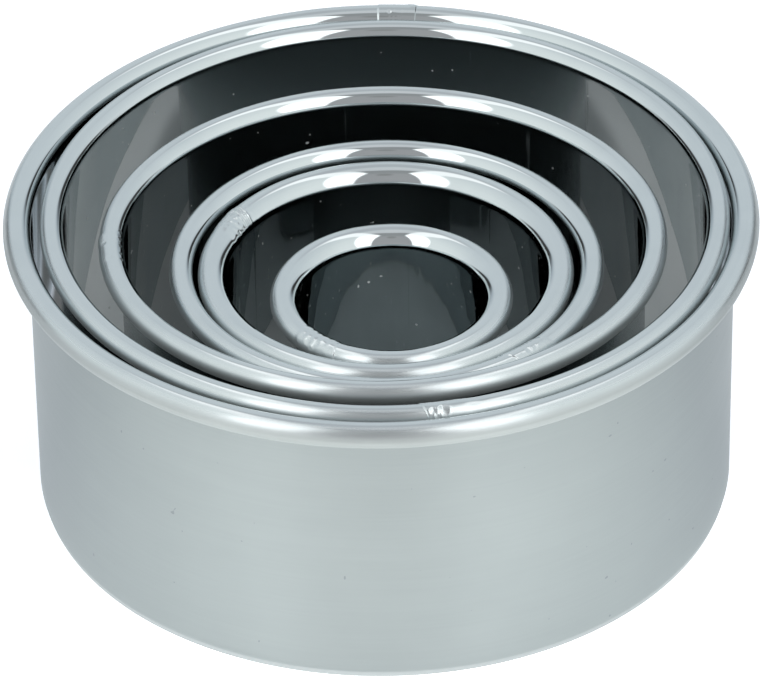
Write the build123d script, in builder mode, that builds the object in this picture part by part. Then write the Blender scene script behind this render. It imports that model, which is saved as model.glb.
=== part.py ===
import os
from math import asin, cos, degrees, radians, sin, sqrt

from build123d import *

# A nest of six plain round biscuit cutters, standing one inside the next on their cutting edges.
# Each cutter is one strip of thin stainless sheet: bent to a ring, its ends lapped and spot welded,
# and the upper border rolled outwards into a hollow bead.
# Lengths are millimetres. The origin is the centre of the largest cutter's cutting edge, at table
# level, with +Z up and -Y towards the viewer.

# The strip
sheet = 0.4
edge_land = 0.2  # flat left on the cutting edge
edge_bevel = 0.8  # height of the bevel ground on the outside of the edge
lip_gap = 0.25  # between the rolled-in lip and the outside of the wall
lip_share = 0.9  # most of the bead's radius that the lip rolls back under it

# The welded lap joint
lap_width = 5.3  # how far the strip's ends overlap
lap_step = 0.15  # what still stands proud after the lap is pressed

# The bead's round section is drawn in straight chords, because each arc would add thousands of
# facets to each ring. Smaller steps, in degrees, make it rounder.
skin_step = 45.0  # on the bead's skin
back_step = 75.0  # on the hidden side of the sheet, inside the bead

# Room that is always left between two neighbouring cutters
nest_gap = 0.15

# Largest cutter: outside diameter over the bead, and height. The second and third are as high.
largest_width = 95.0
largest_height = 40.0
largest_bend = 1.9  # radius of the bead's inner quarter, where the wall turns outwards
largest_curl = 1.57  # radius of the rest of the bead, which rolls tighter

# Every other cutter: play is what its bead leaves free across the inside of the cutter around it
second_play = 1.36
second_bend = 1.6
second_curl = 1.3
second_squash = -0.7  # pressed out of round the other way, longer from front to back

third_play = 9.8
third_bend = 1.65
third_curl = 1.45
third_squash = 3.9  # pressed this much out of round, narrower from front to back

fourth_play = 6.7
fourth_drop = 2.1  # how much lower its bead stands than the one around it
fourth_bend = 1.65
fourth_curl = 1.35

fifth_play = 1.4
fifth_drop = 0.5
fifth_bend = 2.2
fifth_curl = 1.45

smallest_play = 9.4
smallest_drop = 0.9
smallest_bend = 2.2
smallest_curl = 1.4

# Where each cutter stands in the one around it, as shares of the way to its wall, to +X and to +Y
second_x_share, second_y_share = 0.85, -0.56
third_x_share, third_y_share = -0.05, -0.754
fourth_x_share, fourth_y_share = 0.075, -0.9
fifth_x_share, fifth_y_share = -0.22, -0.68
smallest_x_share, smallest_y_share = 0.145, -0.95

# Bearing of each lap joint, in degrees from +X towards +Y
largest_joint = 87.0
second_joint = -80.0
third_joint = 183.0
fourth_joint = -49.0
fifth_joint = 150.5
smallest_joint = -132.0


def radial_plane(hub, bearing):
    # Upright plane through the hub: its X points out along the bearing, its Y is up.
    angle = radians(bearing)
    return Plane(
        origin=(hub[0], hub[1], 0),
        x_dir=(cos(angle), sin(angle), 0),
        z_dir=(sin(angle), -cos(angle), 0),
    )


def round_points(hub, radius, first, last, step):
    # Points on a round stretch of the section, about one step apart, both ends included.
    count = max(1, round(abs(last - first) / step))
    bearings = [radians(first + (last - first) * i / count) for i in range(count + 1)]
    return [(hub[0] + radius * cos(turn), hub[1] + radius * sin(turn)) for turn in bearings]


def skin_points(wall, height, bend, curl, depth, step, tuck):
    # One side of the rolled strip's section, from the top of the wall over and round the bead.
    # wall is the radius of the wall's inside, depth is how far behind that face this side lies,
    # and tuck is the turn past the bead's lowest point.
    over = round_points((wall + bend, height - bend), bend - depth, 180, 90, step)
    hub = (wall + bend, height - curl)
    down = round_points(hub, curl - depth, 90, -90, step)
    under = round_points(hub, curl - depth, -90, -90 - tuck, step) if tuck else []
    return over + down[1:] + under[1:]


def strip_section(plane, wall, height, bend, curl):
    # The rolled strip cut through: wall, bead, tucked-in lip and the bevel of the cutting edge.
    tuck = degrees(asin(min(lip_share, (bend - sheet - lip_gap) / curl)))
    skin = skin_points(wall, height, bend, curl, 0, skin_step, tuck)
    back = skin_points(wall, height, bend, curl, sheet, back_step, tuck)
    edge = [(wall + sheet, edge_bevel), (wall + edge_land, 0), (wall, 0)]
    with BuildSketch(plane) as section:
        with BuildLine():
            Polyline(*skin, *reversed(back), *edge, close=True)
        make_face()
    return section.sketch


def lap_section(plane, wall, height, bend, curl):
    # The second layer at the lap, which lies on the wall's inside and on the bead's skin.
    skin = skin_points(wall, height, bend, curl, -lap_step, skin_step, 0)
    root = skin_points(wall, height, bend, curl, sheet / 2, skin_step, 0)
    edge = [(wall + sheet / 2, edge_bevel), (wall - lap_step, edge_bevel)]
    with BuildSketch(plane) as section:
        with BuildLine():
            Polyline(*skin, *reversed(root), *edge, close=True)
        make_face()
    return section.sketch


def rim_arcs(squash):
    # The ring from above: one full circle, or four tangent arcs where it is pressed out of round.
    # Each arc has its first bearing, its angle, its hub and what it adds to the ring's half width.
    if squash == 0:
        return [(0, 360, (0, 0), 0)]
    shift = squash / 2 / (2 - sqrt(2))
    return [
        (-45, 90, (shift, 0), -shift),
        (45, 90, (0, -shift), shift - squash / 2),
        (135, 90, (-shift, 0), -shift),
        (225, 90, (0, shift), shift - squash / 2),
    ]


def make_cutter(name, centre, half_width, squash, height, bend, curl, joint):
    with BuildPart() as cutter:
        for start, angle, hub_shift, added in rim_arcs(squash):
            hub = (centre[0] + hub_shift[0], centre[1] + hub_shift[1])
            wall = half_width + added - bend - curl
            axis = Axis((hub[0], hub[1], 0), (0, 0, 1))
            revolve(strip_section(radial_plane(hub, start), wall, height, bend, curl), axis, angle)
            if (joint - start) % 360 < angle:
                # The lap joint lies on this arc of the ring.
                half_lap = degrees(lap_width / 2 / wall)
                lap_plane = radial_plane(hub, joint - half_lap)
                revolve(lap_section(lap_plane, wall, height, bend, curl), axis, 2 * half_lap)
    cutter.part.label = name
    return cutter.part


# The nest, from the outside in. Each row: name, play, drop, bend, curl, squash, where it stands in
# the one before as shares to +X and +Y, and the bearing of its lap joint.
nest = [
    ("second_cutter", second_play, 0, second_bend, second_curl, second_squash,
     second_x_share, second_y_share, second_joint),
    ("third_cutter", third_play, 0, third_bend, third_curl, third_squash,
     third_x_share, third_y_share, third_joint),
    ("fourth_cutter", fourth_play, fourth_drop, fourth_bend, fourth_curl, 0,
     fourth_x_share, fourth_y_share, fourth_joint),
    ("fifth_cutter", fifth_play, fifth_drop, fifth_bend, fifth_curl, 0,
     fifth_x_share, fifth_y_share, fifth_joint),
    ("smallest_cutter", smallest_play, smallest_drop, smallest_bend, smallest_curl, 0,
     smallest_x_share, smallest_y_share, smallest_joint),
]

centre = (0, 0)
cutters = [
    make_cutter("largest_cutter", centre, largest_width / 2, 0, largest_height,
                largest_bend, largest_curl, largest_joint)
]
inside_x = inside_y = largest_width / 2 - largest_bend - largest_curl
height = largest_height
for name, play, drop, bend, curl, squash, x_share, y_share, joint in nest:
    half_width = min(inside_x, inside_y) - play / 2
    height -= drop
    room_x = inside_x - half_width - nest_gap
    room_y = inside_y - half_width + squash / 2 - nest_gap
    centre = (centre[0] + x_share * room_x, centre[1] + y_share * room_y)
    cutters.append(make_cutter(name, centre, half_width, squash, height, bend, curl, joint))
    inside_x = half_width - bend - curl
    inside_y = inside_x - squash / 2
    print(name, "outside", round(2 * half_width, 2), "centre", round(centre[0], 2), round(centre[1], 2))

os.makedirs("parts", exist_ok=True)
for cutter in cutters:
    export_step(cutter, f"parts/{cutter.label}.step")
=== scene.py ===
import bpy
import numpy as np
from mathutils import Matrix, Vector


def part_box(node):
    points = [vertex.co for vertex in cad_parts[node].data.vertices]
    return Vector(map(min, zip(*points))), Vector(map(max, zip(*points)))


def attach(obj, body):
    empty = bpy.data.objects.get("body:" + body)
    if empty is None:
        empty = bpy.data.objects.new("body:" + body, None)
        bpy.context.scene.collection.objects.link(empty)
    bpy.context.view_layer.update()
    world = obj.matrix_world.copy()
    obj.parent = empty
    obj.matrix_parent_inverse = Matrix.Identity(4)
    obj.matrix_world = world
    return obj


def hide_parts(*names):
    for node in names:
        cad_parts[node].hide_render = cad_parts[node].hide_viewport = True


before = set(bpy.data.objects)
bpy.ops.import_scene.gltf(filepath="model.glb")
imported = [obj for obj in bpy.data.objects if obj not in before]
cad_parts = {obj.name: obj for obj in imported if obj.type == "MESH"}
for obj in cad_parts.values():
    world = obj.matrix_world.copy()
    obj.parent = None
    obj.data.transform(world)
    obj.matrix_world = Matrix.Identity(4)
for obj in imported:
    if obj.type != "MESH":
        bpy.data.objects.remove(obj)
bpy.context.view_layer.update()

# A nest of six round biscuit cutters: thin steel strips bent to rings, lapped and spot welded, with
# the upper border rolled outwards into a hollow bead. Each ring here is one fine surface that stands
# for its CAD node. Lengths in the dictionaries are millimetres and angles are degrees, except where
# a note says metres.
mm = .001
print("frame loaded:", len(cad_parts), "nodes")


# Camera

cameraView = {
    "lens": 303.49,  # on a sensor 36 mm wide
    "distance": 818.4,
    "elevation": 35.935,
    "roll": -.8705,
    "aim": (-.241, 0, 19.257),
}


def makeCamera(v):
    # right and up are turned about the line of sight by the roll
    e, roll = np.radians(v["elevation"]), np.radians(v["roll"])
    back = np.array([0, -np.cos(e), np.sin(e)])
    level, upright = np.array([1, 0, 0]), np.array([0, np.sin(e), np.cos(e)])
    right = level * np.cos(roll) + upright * np.sin(roll)
    up = upright * np.cos(roll) - level * np.sin(roll)
    data = bpy.data.cameras.new("studioCamera")
    data.lens, data.sensor_width = v["lens"], 36
    data.clip_start, data.clip_end = .05, 50
    camera = bpy.data.objects.new("studioCamera", data)
    bpy.context.scene.collection.objects.link(camera)
    place = (np.array(v["aim"]) + back * v["distance"]) * mm
    turn = Matrix([[right[i], up[i], back[i], place[i]] for i in range(3)] + [[0, 0, 0, 1]])
    camera.matrix_world = turn
    bpy.context.scene.camera = camera


makeCamera(cameraView)
bpy.context.scene.view_settings.view_transform = "Standard"
print("camera set")


# Shader maths: a Wire is a socket that plus, minus, times and the like turn into Math nodes

class Wire:
    def __init__(self, tree, socket=None):
        self.tree, self.socket = tree, socket

    def node(self, kind, settings={}, inputs={}, out=0):
        made = self.tree.nodes.new(kind)
        for name, value in settings.items():
            setattr(made, name, value)
        for name, value in inputs.items():
            if isinstance(value, Wire):
                self.tree.links.new(value.socket, made.inputs[name])
            else:
                made.inputs[name].default_value = value
        return Wire(self.tree, made.outputs[out]) if made.outputs else None

    def maths(self, operation, first, second=0):
        return self.node("ShaderNodeMath", {"operation": operation}, {0: first, 1: second})

    def __add__(self, other):
        return self.maths("ADD", self, other)

    def __sub__(self, other):
        return self.maths("SUBTRACT", self, other)

    def __rsub__(self, other):
        return self.maths("SUBTRACT", other, self)

    def __mul__(self, other):
        return self.maths("MULTIPLY", self, other)

    def __neg__(self):
        return self.maths("MULTIPLY", self, -1)

    def most(self, other):
        return self.maths("MAXIMUM", self, other)

    def least(self, other):
        return self.maths("MINIMUM", self, other)

    def size(self):
        return self.maths("ABSOLUTE", self)

    def step(self, low, high):
        # 0 below low and 1 above high, with a smooth rise between them
        return self.node("ShaderNodeMapRange", {"interpolation_type": "SMOOTHSTEP"},
                         {"Value": self, "From Min": low, "From Max": high})

    def blend(self, first, second):
        # a colour that goes from first to second as this wire goes from 0 to 1
        return self.node("ShaderNodeMix", {"data_type": "RGBA"}, {0: self, 6: first, 7: second}, 2)

    def vector(self, x, y, z):
        return self.node("ShaderNodeCombineXYZ", {}, {0: x, 1: y, 2: z})

    def parts(self):
        return [self.node("ShaderNodeSeparateXYZ", {}, {0: self}, i) for i in range(3)]

    def noise(self, scale, detail=2, roughness=.5):
        return self.node("ShaderNodeTexNoise", {"noise_dimensions": "3D"},
                         {"Vector": self, "Scale": scale, "Detail": detail, "Roughness": roughness})


def grey(value, blue=0):
    return (value * (1 - blue), value, value * (1 + blue), 1)


# Studio: a pale tent with two tall white strips in front, which narrow and run on over its roof

tent = {
    # how far left the middle of the gap between the strips is, per unit of height and in front
    "centre": (.012, .043),
    "inner": (.177, .425),  # the strips' edges, per unit of height and per unit in front
    "outer": (.345, .25, .78),  # the same beyond: the least per height, then height and front together
    "soft": .022, "outerSoft": 1.5,  # how soft these edges are, and how many times more the outer ones
    "foot": (-.02, .26), "end": (-.12, .1), "endHeight": .66,
    "strips": grey(2.1), "roofStrips": grey(1.45), "brighter": (0, .5),
    "gap": (.47, .465, .475, 1), "gapBegin": (-.02, .12),
    "gapRoof": grey(.4, .02), "gapRoofBegin": (.82, .93),
    "walls": (1.05, 1.09, 1.08, 1), "rear": (.74, .79, .83, 1), "wallsBegin": (-.95, .65),
    "roof": (.8, .81, .835, 1), "roofBegin": (.93, .99), "roofMiddle": (.985, 1),
    # the darker gap behind: how far aside it ends, and how far back and how high it begins
    "rearGap": (.62, .64, .67, 1), "rearGapAside": (.12, .3), "rearGapBack": (.2, .4), "rearGapHigh": (.62, .8),
    # the dark corners behind: how high they end, how far back they are and how far aside they begin
    "corner": (.42, .48, .53, 1), "cornerHigh": (.1, .45), "cornerBack": .76, "cornerReach": (.05, .35),
    "cornerAside": (.2, .5),
    # the dark camera between the strips: half width, height, and its soft edge as shares of the first
    "lens": (.07, .79), "lensSoft": (.3, 2), "lensTone": grey(.36),
    # dark under the tent's sides, higher towards the back
    "slit": (.14, .2), "slitTone": grey(.06), "slitSoft": (-.05, .04), "slitAside": (.45, .65),
    "slitBack": (.1, .45),
    "ground": grey(1), "horizon": (0, .02),
    "strength": 1,
}


def makeStudio(t):
    # x, front and high are the parts of the line of sight, and each tone has a soft mask made of them
    world = bpy.data.worlds.new("studioTent")
    world.use_nodes = True
    world.node_tree.nodes.clear()
    bpy.context.scene.world = world
    w = Wire(world.node_tree)
    x, y, z = w.node("ShaderNodeTexCoord", {}, {}, 0).parts()
    front, high = -y, z
    aside = (x + high * t["centre"][0] + front * t["centre"][1]).size()
    leastHigh, perHigh, perFront = t["outer"]
    inner = (high * t["inner"][0]).most(front * t["inner"][1])
    outer = (high * leastHigh).most(high * perHigh + front * perFront)
    soft = t["soft"]
    beyond = (aside - inner).step(-soft, soft)
    strips = beyond * (1 - (aside - outer).step(-soft, soft * t["outerSoft"]))
    strips = strips * high.step(*t["foot"]) * (front + high * t["endHeight"]).step(*t["end"])
    shade = front.step(*t["wallsBegin"]).blend(t["rear"], t["walls"])
    corner = (1 - high.step(*t["cornerHigh"])) * (1 - (front + t["cornerBack"]).size().step(*t["cornerReach"]))
    corner = corner * x.size().step(*t["cornerAside"])
    shade = corner.blend(shade, t["corner"])
    shade = high.step(*t["roofBegin"]).blend(shade, t["roof"])
    gapTone = high.step(*t["gapRoofBegin"]).blend(t["gap"], t["gapRoof"])
    gapTone = high.step(*t["roofMiddle"]).blend(gapTone, t["roof"])
    width, place = t["lens"]
    fromLens = (high - place) * (high - place) + x * x
    lens = 1 - fromLens.step(*[width * width * share for share in t["lensSoft"]])
    gapTone = lens.blend(gapTone, t["lensTone"])
    shade = ((1 - beyond) * front.step(*t["gapBegin"])).blend(shade, gapTone)
    rearGap = (1 - aside.step(*t["rearGapAside"])) * (-front).step(*t["rearGapBack"])
    rearGap = rearGap * high.step(*t["rearGapHigh"])
    shade = rearGap.blend(shade, t["rearGap"])
    glow = front.step(*t["brighter"]).blend(t["roofStrips"], t["strips"])
    shade = strips.blend(shade, glow)
    level, slope = t["slit"]
    slit = 1 - (high + front * slope - level).step(*t["slitSoft"])
    slit = slit * x.size().step(*t["slitAside"]) * (-front).step(*t["slitBack"])
    shade = slit.blend(shade, t["slitTone"])
    shade = (-z).step(*t["horizon"]).blend(shade, t["ground"])
    lit = w.node("ShaderNodeBackground", {}, {"Color": shade, "Strength": t["strength"]})
    w.node("ShaderNodeOutputWorld", {}, {"Surface": lit})


makeStudio(tent)


# Materials

def newMaterial(name, slotColour):
    made = bpy.data.materials.new(name)
    made.use_nodes = True
    made.node_tree.nodes.clear()
    made.diffuse_color = slotColour
    return made, Wire(made.node_tree)


def bareMetal(w, colour, roughness, height=None, distance=1, drawn=0):
    # All steel here is the same shader: what varies is its colour, roughness and relief. Drawn
    # steel has fine lines round the ring, which spread its reflections up and down.
    inputs = {"Base Color": colour, "Metallic": 1, "Roughness": roughness,
              "Anisotropic": drawn, "Anisotropic Rotation": .25}
    if height is not None:
        bump = {"Strength": 1, "Distance": distance, "Height": height}
        inputs["Normal"] = w.node("ShaderNodeBump", {}, bump)
    w.node("ShaderNodeOutputMaterial", {}, {"Surface": w.node("ShaderNodeBsdfPrincipled", {}, inputs)})


def ringNoise(spot, third, scales, detail, roughness=.5):
    # noise with one scale round the ring and another along the third value
    x, y, z = spot.parts()
    return spot.vector(x * scales[0], y * scales[0], third * scales[1]).noise(1, detail, roughness)


# In the materials, heights and places across the strip are metres. A pair of scales is that of a
# noise round the ring, then across the strip or up the wall, and a span is the part of it that shows.
polish = {
    # the colour for the bead's underside is painted shade: it is darker where the bead faces down
    "clean": (.64, .69, .7, 1), "hazy": (.58, .63, .645, 1), "under": (.42, .45, .45, 1),
    # roughness and what adds to it
    "wall": .03, "bead": .04, "outer": .19, "below": .24, "haze": .03, "streaks": .08,
    # where the bead, its outer half and its underside begin, from its top
    "rolled": (-.0045, -.002), "half": (-.0002, .001), "turn": (.001, .0025),
    # the rolling marks along the bead, their height, and how much they and the haze change the colour
    "drawn": .8, "marksScale": (30, 3200), "marksSpan": (.35, .75), "rolling": .0000024, "mottle": .4,
    "hazeScale": 90, "hazeSpan": (.45, .7),
    "pitsScale": 2600, "beaten": .000012, "beatenRough": .12,  # pits of the beaten patch at a joint
    "wavesScale": (190, 16), "waves": .000009,  # the wall's upright waves
    # the fine upright lines and the dust on the wall, each with its roughness
    "linesScale": (700, 22), "linesSpan": (.69, .75), "lines": .2,
    "specksScale": 1500, "specksSpan": (.855, .87), "specks": .5, "dust": (.8, .82, .82, 1),
}


def makePolished(p):
    # The rolled bead has fine marks that run round the ring: they change fast across the strip and
    # slowly along it. The wall below it is smoother, with slight upright waves and lines.
    made, w = newMaterial("polishedSteel", p["clean"])
    spot = w.node("ShaderNodeTexCoord", {}, {}, 3)
    z = spot.parts()[2]
    across = w.node("ShaderNodeAttribute", {"attribute_name": "across"}, {}, 2)
    beaten = w.node("ShaderNodeAttribute", {"attribute_name": "beaten"}, {}, 2)
    rolled, outer, below = across.step(*p["rolled"]), across.step(*p["half"]), across.step(*p["turn"])
    plain = 1 - rolled
    marks = ringNoise(spot, across, p["marksScale"], 3, .6)
    haze = spot.noise(p["hazeScale"], 3, .6).step(*p["hazeSpan"])
    pits = spot.noise(p["pitsScale"], 3, .6)
    lines = ringNoise(spot, z, p["linesScale"], 2, .6).step(*p["linesSpan"]) * plain
    waves = ringNoise(spot, z, p["wavesScale"], 1)
    specks = spot.noise(p["specksScale"], 0).step(*p["specksSpan"]) * plain
    colour = (haze * p["mottle"] + marks * p["mottle"]).blend(p["clean"], p["hazy"])
    # painted shade: below its turn the bead's underside takes that darker colour
    colour = specks.blend(below.blend(colour, p["under"]), p["dust"])
    roughness = rolled * (p["bead"] - p["wall"]) + marks.step(*p["marksSpan"]) * outer * p["streaks"]
    roughness = roughness + outer * p["outer"] + haze * p["haze"] + beaten * pits * p["beatenRough"] + p["wall"]
    roughness = roughness + below * p["below"] + lines * p["lines"] + specks * p["specks"]
    height = marks * rolled * p["rolling"] + pits * beaten * p["beaten"] + waves * plain * p["waves"]
    bareMetal(w, colour, roughness, height, 1, p["drawn"])
    return made


satin = {
    "clean": (.352, .385, .388, 1), "dull": (.32, .354, .36, 1), "tick": (.25, .275, .285, 1),
    "fresh": .16, "worn": .4, "grain": .06, "drawn": .8,  # roughness unused and used, and what adds to it
    "grainScale": (60, 3000), "relief": .000004,  # the fine lines round the ring
    "cloudScale": 60, "cloudShare": .6, "grainShare": .3,  # how much clouds and lines dull the colour
    "ticksScale": 1100, "ticksSpan": (.86, .88),  # small nicks
}


def makeSatin(p):
    made, w = newMaterial("satinSteel", p["clean"])
    spot = w.node("ShaderNodeTexCoord", {}, {}, 3)
    across = w.node("ShaderNodeAttribute", {"attribute_name": "across"}, {}, 2)
    worn = w.node("ShaderNodeAttribute", {"attribute_name": "worn"}, {}, 2)
    grain = ringNoise(spot, across, p["grainScale"], 3)
    cloud = spot.noise(p["cloudScale"], 3, .6)
    ticks = spot.noise(p["ticksScale"], 0).step(*p["ticksSpan"])
    colour = (cloud * p["cloudShare"] + grain * p["grainShare"]).blend(p["clean"], p["dull"])
    colour = ticks.blend(colour, p["tick"])
    roughness = (grain + cloud * p["cloudShare"]) * p["grain"] + worn * (p["worn"] - p["fresh"]) + p["fresh"]
    bareMetal(w, colour, roughness, grain, p["relief"], p["drawn"])
    return made


steelEdge = {
    "colour": (.42, .45, .455, 1), "worn": (.36, .385, .39, 1), "roughness": .32, "uneven": .2,
    "linesScale": (40, 9000),
}


def makeEdge(p):
    # cut and ground edges: fine lines along the strip
    made, w = newMaterial("cutSteel", p["colour"])
    spot = w.node("ShaderNodeTexCoord", {}, {}, 3)
    lines = ringNoise(spot, spot.parts()[2], p["linesScale"], 2)
    bareMetal(w, lines.blend(p["colour"], p["worn"]), lines * p["uneven"] + p["roughness"])
    return made


steels = [makePolished(polish), makeSatin(satin), makeEdge(steelEdge)]
print("materials made")


# Cutters

strip = {
    "sheet": .4, "lipGap": .25,  # how far the rolled-in lip stays off the wall
    "lipShare": .9,  # most of the curl's radius that the lip rolls back under it
    "edgeLand": .2, "edgeBevel": .8, "edgeRound": .05, "landRound": (.03, .06),
    "lapStep": .15,  # how far the CAD lap stands proud
    "squareOn": .99,  # a joint that faces a side of the CAD box as squarely as this reaches it
    "jointReach": 4.6, "jointStep": .075,  # the joint's fine columns, to each side of its middle
    "columnStep": .62,  # and the columns of the rest of the ring
    # rows up the wall's inside, on its top stretch, and round the bead's bend and its curl
    "wallRows": 12, "topRows": 20, "topStretch": 8, "bendRows": 18, "curlRows": 44,
    "backRows": (18, 8, 16),  # on the back of the curl, of the bend and of the wall
    "sharp": 38,  # an edge that turns more than this shows as sharp
    # slow waves of the ring: how many there are to a turn, their size, how it falls with that number,
    # and the shares of it that go outwards and up
    "orders": (2, 24), "waveSize": .03, "waveFall": .6, "waveOut": .35, "waveUp": .3,
}
phases = (0, 6.28)  # radians between which a wave may start

# Each joint is told along the strip (mm from its middle, towards growing bearing) and round the
# bead (degrees, 90 on top, 180 at the wall, 0 outermost).
# lap: first end, its ramp, last end, its ramp, height, slant of both per mm round the bead
# dents: place, bearing round the bead, radius, depth (a negative depth is a bump)
# patch: middle and reach of the stretch that was beaten flat, and hammer how uneven it is
# worn: 1 where hands and dough have dulled the wall's outside
cutters = {
    "largest_cutter": {
        "bend": 1.9, "curl": 1.57, "joint": 87.0, "worn": 1,
        "lap": (-2.65, .08, 2.3, .14, .085, 0),
        "dents": [(.9, 118, .3, .03), (-2.2, 66, .42, -.07), (-1.6, 58, .3, -.04)],
        "patch": (0, 1), "hammer": .004, "seed": 11,
    },
    "second_cutter": {
        "bend": 1.6, "curl": 1.3, "joint": -80.0, "worn": 0,
        "lap": (-3.1, .08, 1.4, 2.6, .09, .35),
        "dents": [(-1.9, 54, .42, .045), (-.7, 54, .6, .065), (-1.4, 28, .35, .03)],
        "patch": (-1.3, 1.3), "hammer": .007, "seed": 22,
    },
    "third_cutter": {
        "bend": 1.65, "curl": 1.45, "joint": 183.0, "worn": 0,
        "lap": (-2.8, .5, 2.6, 1.2, .05, 0),
        "dents": [(-.1, 54, .4, .07), (-1.5, 22, .6, -.13), (-3.05, 138, .25, .05), (-1.4, 138, .25, .05),
                  (.15, 140, .25, .05), (2.0, 136, .25, .04), (3.35, 136, .25, .04)],
        "patch": (-1, 1.2), "hammer": .005, "seed": 33,
    },
    "fourth_cutter": {
        "bend": 1.65, "curl": 1.35, "joint": -49.0, "worn": 0,
        "lap": (-2.6, .08, 2.4, .8, .09, .6),
        "dents": [(-.05, 68, .4, .06), (1.75, 48, .5, -.04)],
        "patch": (.6, 1.6), "hammer": .005, "seed": 44,
    },
    "fifth_cutter": {
        "bend": 2.2, "curl": 1.45, "joint": 150.5, "worn": 0,
        "lap": (-2.4, .5, 2.4, 1.2, .05, -.29),
        "dents": [(-.53, 72, .4, .07), (-.83, 40, .6, -.07), (1.92, 146, .3, .04)],
        "ripples": (-2.3, -.4, .36, .045, -2.4, .4),  # from, to, pitch, height, round the bead from, to
        "patch": (0, 2.5), "hammer": .026, "seed": 55,
    },
    "smallest_cutter": {
        "bend": 2.2, "curl": 1.4, "joint": -132.0, "worn": 0,
        "lap": (-3.2, .8, 2.8, .08, .09, .2),
        "dents": [(-.64, 52, .5, .08), (.31, 52, .45, .08), (.1, 32, .4, .05), (.61, 86, .2, .04)],
        "patch": (0, 2.4), "hammer": .014, "seed": 66,
    },
}


def rise(x, width):
    # 0 before zero, 1 past the width, smooth between
    t = np.clip(x / width, 0, 1)
    return t * t * (3 - 2 * t)


def arc(hub, radius, first, last, count):
    turn = np.radians(np.linspace(first, last, count))
    return np.stack([hub[0] + radius * np.cos(turn), hub[1] + radius * np.sin(turn),
                     np.cos(turn), np.sin(turn)], 1)


def line(start, end, count, normal=(0, 0)):
    t = np.linspace(0, 1, count)[:, None]
    spots = np.array(start) * (1 - t) + np.array(end) * t
    return np.hstack([spots, np.tile(normal, (count, 1))])


def stripSection(c, height):
    # The rolled strip cut through, as one closed loop of rows: up the wall's inside, over and round
    # the bead, back inside it, down the wall's outside and across the cutting edge. Each row holds
    # its distance from the wall's inside, its height and the skin's normal.
    s, bend, curl = strip, c["bend"], c["curl"]
    wallTop = height - bend
    stretchFoot = wallTop - s["topStretch"]
    bendHub, curlHub = (bend, wallTop), (bend, height - curl)
    tuck = np.degrees(np.arcsin(min(s["lipShare"], (bend - s["sheet"] - s["lipGap"]) / curl)))
    skin = np.vstack([
        line((0, s["edgeRound"]), (0, stretchFoot), s["wallRows"], (-1, 0))[:-1],
        line((0, stretchFoot), (0, wallTop), s["topRows"], (-1, 0))[:-1],
        arc(bendHub, bend, 180, 90, s["bendRows"])[:-1],
        arc(curlHub, curl, 90, -90 - tuck, s["curlRows"]),
    ])
    curlBack, bendBack, wallBack = s["backRows"]
    back = np.vstack([
        arc(curlHub, curl - s["sheet"], -90 - tuck, 90, curlBack)[:-1],
        arc(bendHub, bend - s["sheet"], 90, 180, bendBack)[:-1],
        line((s["sheet"], wallTop), (s["sheet"], s["edgeBevel"]), wallBack),
    ])
    landOut, landUp = s["landRound"]
    edge = np.vstack([
        line((s["sheet"], s["edgeBevel"]), (s["edgeLand"] + landOut, landUp), 3)[1:],
        line((s["edgeLand"], 0), (s["edgeRound"], 0), 2),
    ])
    rows = np.vstack([skin, back, edge])
    steel = np.concatenate([np.zeros(len(skin)), np.ones(len(back)), np.full(len(edge), 2)])
    steel[len(skin) - 1] = 2  # the lip's cut edge
    steel[len(skin) + len(back) - 1] = 2
    across = np.concatenate([[0], np.cumsum(np.hypot(*np.diff(rows[:, :2], axis=0).T))])
    beadTop = s["wallRows"] + s["topRows"] + s["bendRows"] - 3
    return rows, steel.astype(int), across - across[beadTop], len(skin)


beating = {
    "middle": -.2, "reach": 2.1,  # of the beaten patch round the bead, from its top
    "slantReach": 2.5,  # how far from the bead's top the slant of the lap's ends goes on
    "rimHeight": .4, "rimPlace": 1.3, "rimWidth": .35,  # a dent's rim, as shares of its depth and radius
    "rippleSoft": (.3, .6),  # how softly ripples end along the strip and round the bead
    "waves": 14, "waveLength": (.45, 1.3), "waveShare": .4,
    "roughest": .016,  # the hammer value that makes a patch fully rough
    "foot": (2, 6),  # relief begins this far up the wall and is full after this rise
    "underneath": (1.9, .9),  # and it fades on the bead's underside, in radii of the curl
}


def beatenPatch(c, along, across):
    # 1 on the bead where the weld was beaten flat, with soft ends
    middle, reach = c["patch"]
    overBead = np.exp(-((across - beating["middle"]) / beating["reach"]) ** 4)
    return np.exp(-((along - middle) / reach) ** 4) * overBead


def relief(c, along, across):
    # How far the skin stands off the plain bead: the lap's second layer, dents, ripples and the
    # uneven beating round the weld. A bump or dent is a bell of the distance from its middle, and a
    # dent has a raised rim, which is a bell of the distance from its circle.
    b = beating
    first, ramp, last, lastRamp, height, slant = c["lap"]
    shifted = along - slant * np.clip(across, -b["slantReach"], b["slantReach"])
    lap = rise(shifted - first, ramp) * (1 - rise(shifted - last, lastRamp))
    lift = height * lap
    for place, bearing, radius, depth in c["dents"]:
        turn = np.radians(90 - bearing)
        middle = turn * (c["curl"] if turn > 0 else c["bend"])
        away = np.hypot(along - place, across - middle) / radius
        rim = np.exp(-((away - b["rimPlace"]) / b["rimWidth"]) ** 2)
        lift = lift - depth * np.exp(-away ** 2) + abs(depth) * b["rimHeight"] * rim
    if "ripples" in c:
        start, end, pitch, high, low, top = c["ripples"]
        softAlong, softRound = b["rippleSoft"]
        window = rise(shifted - start, softAlong) * (1 - rise(shifted - end, softAlong))
        window = window * rise(across - low, softRound) * (1 - rise(across - top, softRound))
        lift = lift + high * window * np.cos(2 * np.pi * (shifted - start) / pitch)
    chance = np.random.default_rng(c["seed"])
    near = beatenPatch(c, along, across)
    for _ in range(b["waves"]):
        wave, heading = chance.uniform(*b["waveLength"]), chance.uniform(0, np.pi)
        start = chance.uniform(*phases)
        swing = (along * np.cos(heading) + across * np.sin(heading)) * 2 * np.pi / wave + start
        lift = lift + c["hammer"] * b["waveShare"] * near * np.cos(swing)
    return lift


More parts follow.
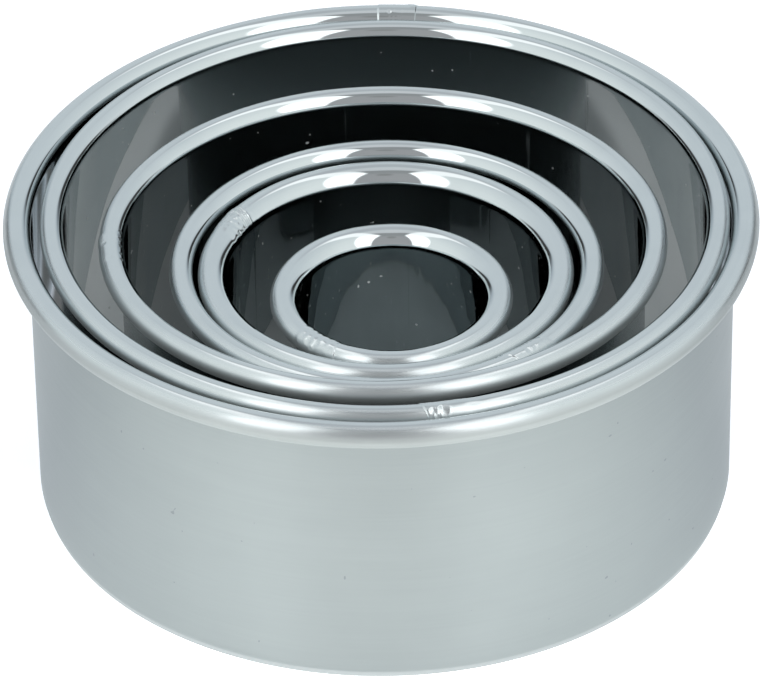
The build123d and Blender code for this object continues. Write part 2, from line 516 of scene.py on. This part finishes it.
def ringMesh(name, spots, steel):
    # A closed band of four-sided faces. The first step of spots goes round the ring, the second
    # round the strip's section, and steel is the material of each row.
    n, m = spots.shape[:2]
    column, row = np.arange(n)[:, None], np.arange(m)[None, :]
    after, above = (column + 1) % n, (row + 1) % m
    faces = np.stack([column * m + row, column * m + above, after * m + above, after * m + row], -1)
    mesh = bpy.data.meshes.new(name)
    mesh.vertices.add(n * m)
    mesh.vertices.foreach_set("co", (spots * mm).astype(np.float32).ravel())
    mesh.loops.add(4 * n * m)
    mesh.loops.foreach_set("vertex_index", faces.astype(np.int32).ravel())
    mesh.polygons.add(n * m)
    mesh.polygons.foreach_set("loop_start", np.arange(0, 4 * n * m, 4, dtype=np.int32))
    mesh.polygons.foreach_set("material_index", np.tile(steel, n).astype(np.int32))
    return mesh


def makeCutter(node, c):
    s, b = strip, beating
    low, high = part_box(node)
    low, high = np.array(low) / mm, np.array(high) / mm
    # a side of the CAD box that the lap reaches is further out by its step
    joint = np.radians(c["joint"])
    facing = np.array([np.cos(joint), np.sin(joint)])
    high[:2] -= s["lapStep"] * (facing > s["squareOn"])
    low[:2] += s["lapStep"] * (facing < -s["squareOn"])
    height = high[2] - s["lapStep"]
    middle, half = (low[:2] + high[:2]) / 2, (high[:2] - low[:2]) / 2
    rows, steel, across, skinRows = stripSection(c, height)
    # columns: fine at the joint, wider round the rest
    mean, oval = half.mean(), (half[0] - half[1]) / 2
    bent = mean - 3 * oval * np.cos(2 * joint) - c["curl"]  # the bead's radius at the joint
    reach = s["jointReach"]
    fine = np.arange(-reach, reach, s["jointStep"]) / bent
    count = int((2 * np.pi - 2 * reach / bent) * mean / s["columnStep"])
    coarse = np.linspace(reach / bent, 2 * np.pi - reach / bent, count)[:-1]
    turn = np.concatenate([fine, coarse])
    along = np.where(turn > np.pi, turn - 2 * np.pi, turn)[:, None] * bent
    turn = (turn + joint)[:, None]
    # The ring from above is an oval told by its support: how far each tangent lies from the middle.
    # Every line of the strip is a parallel of it. Slow waves keep it from being perfect.
    chance = np.random.default_rng(c["seed"])
    wobble, sway = 0, 0
    for k in range(*s["orders"]):
        size = s["waveSize"] / k ** s["waveFall"]
        wobble = wobble + chance.normal() * size * s["waveOut"] * np.cos(k * turn + chance.uniform(*phases))
        sway = sway + chance.normal() * size * s["waveUp"] * np.cos(k * turn + chance.uniform(*phases))
    support = mean - c["bend"] - c["curl"] + oval * np.cos(2 * turn) + wobble
    drift = -2 * oval * np.sin(2 * turn)
    out, up, normalOut, normalUp = (rows[:, i][None, :] for i in range(4))
    foot, footRise = b["foot"]
    fadeFrom, fadeOver = (radii * c["curl"] for radii in b["underneath"])
    onSkin = np.arange(len(rows)) < skinRows
    lift = relief(c, along, across[None, :]) * rise(up - foot, footRise)
    lift = lift * (1 - rise(across - fadeFrom, fadeOver)) * onSkin
    reachOut = support + out + lift * normalOut
    cos, sin = np.cos(turn), np.sin(turn)
    spots = np.stack([
        middle[0] + reachOut * cos - drift * sin,
        middle[1] + reachOut * sin + drift * cos,
        up + lift * normalUp + sway * rise(up, height),
    ], -1)
    mesh = ringMesh(node, spots, steel)
    values = {
        "across": np.broadcast_to(across * mm, spots.shape[:2]),
        "beaten": beatenPatch(c, along, across[None, :]) * onSkin * c["hammer"] / b["roughest"],
        "worn": np.full(spots.shape[:2], c["worn"]),
    }
    for name, value in values.items():
        made = mesh.attributes.new(name, "FLOAT", "POINT")
        made.data.foreach_set("value", value.astype(np.float32).ravel())
    mesh.update(calc_edges=True)
    mesh.validate()
    mesh.set_sharp_from_angle(angle=np.radians(s["sharp"]))
    for made in steels:
        mesh.materials.append(made)
    piece = bpy.data.objects.new(node.replace("_cutter", "Cutter"), mesh)
    bpy.context.scene.collection.objects.link(piece)
    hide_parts(node)
    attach(piece, node)
    print(piece.name, "has", len(mesh.polygons) * 2, "triangles")


for node, c in cutters.items():
    makeCutter(node, c)


# Floor

floor = {
    "size": 6000, "colour": grey(.75), "roughness": .7,
    # painted light: a glow painted on the floor where light would fall: how brightly it glows under the outer
    # cutters, beside them and in front, how far out (metres) the first begins and gives way to the others, and
    # how far out all of it fades
    "under": grey(.15), "paintedGlowBeside": (.5, .53, .58, 1), "paintedGlowAhead": (1.5, 1.53, 1.5, 1),
    "begin": (.031, .036), "from": (.0425, .044), "fade": (.1, .2), "slope": 13,
}


def makeFloor(f):
    half = f["size"] / 2 * mm
    mesh = bpy.data.meshes.new("floor")
    corners = [(-half, -half, 0), (half, -half, 0), (half, half, 0), (-half, half, 0)]
    mesh.from_pydata(corners, [], [(0, 1, 2, 3)])
    made, w = newMaterial("paleFloor", f["colour"])
    x, y, z = w.node("ShaderNodeTexCoord", {}, {}, 3).parts()
    away = w.maths("SQRT", x * x + y * y)
    # painted light: the floor glows more in front than beside the cutters, with a faint painted glow under the
    # outer cutters and none in the middle
    glow = (-y * f["slope"]).most(0).least(1).blend(f["paintedGlowBeside"], f["paintedGlowAhead"])
    under = away.step(*f["begin"]).blend(grey(0), f["under"])
    glow = away.step(*f["from"]).blend(under, glow)
    shader = w.node("ShaderNodeBsdfPrincipled", {}, {
        "Base Color": f["colour"], "Roughness": f["roughness"],
        "Emission Color": away.step(*f["fade"]).blend(glow, grey(0)), "Emission Strength": 1})
    w.node("ShaderNodeOutputMaterial", {}, {"Surface": shader})
    mesh.materials.append(made)
    plane = bpy.data.objects.new("floor", mesh)
    bpy.context.scene.collection.objects.link(plane)


makeFloor(floor)
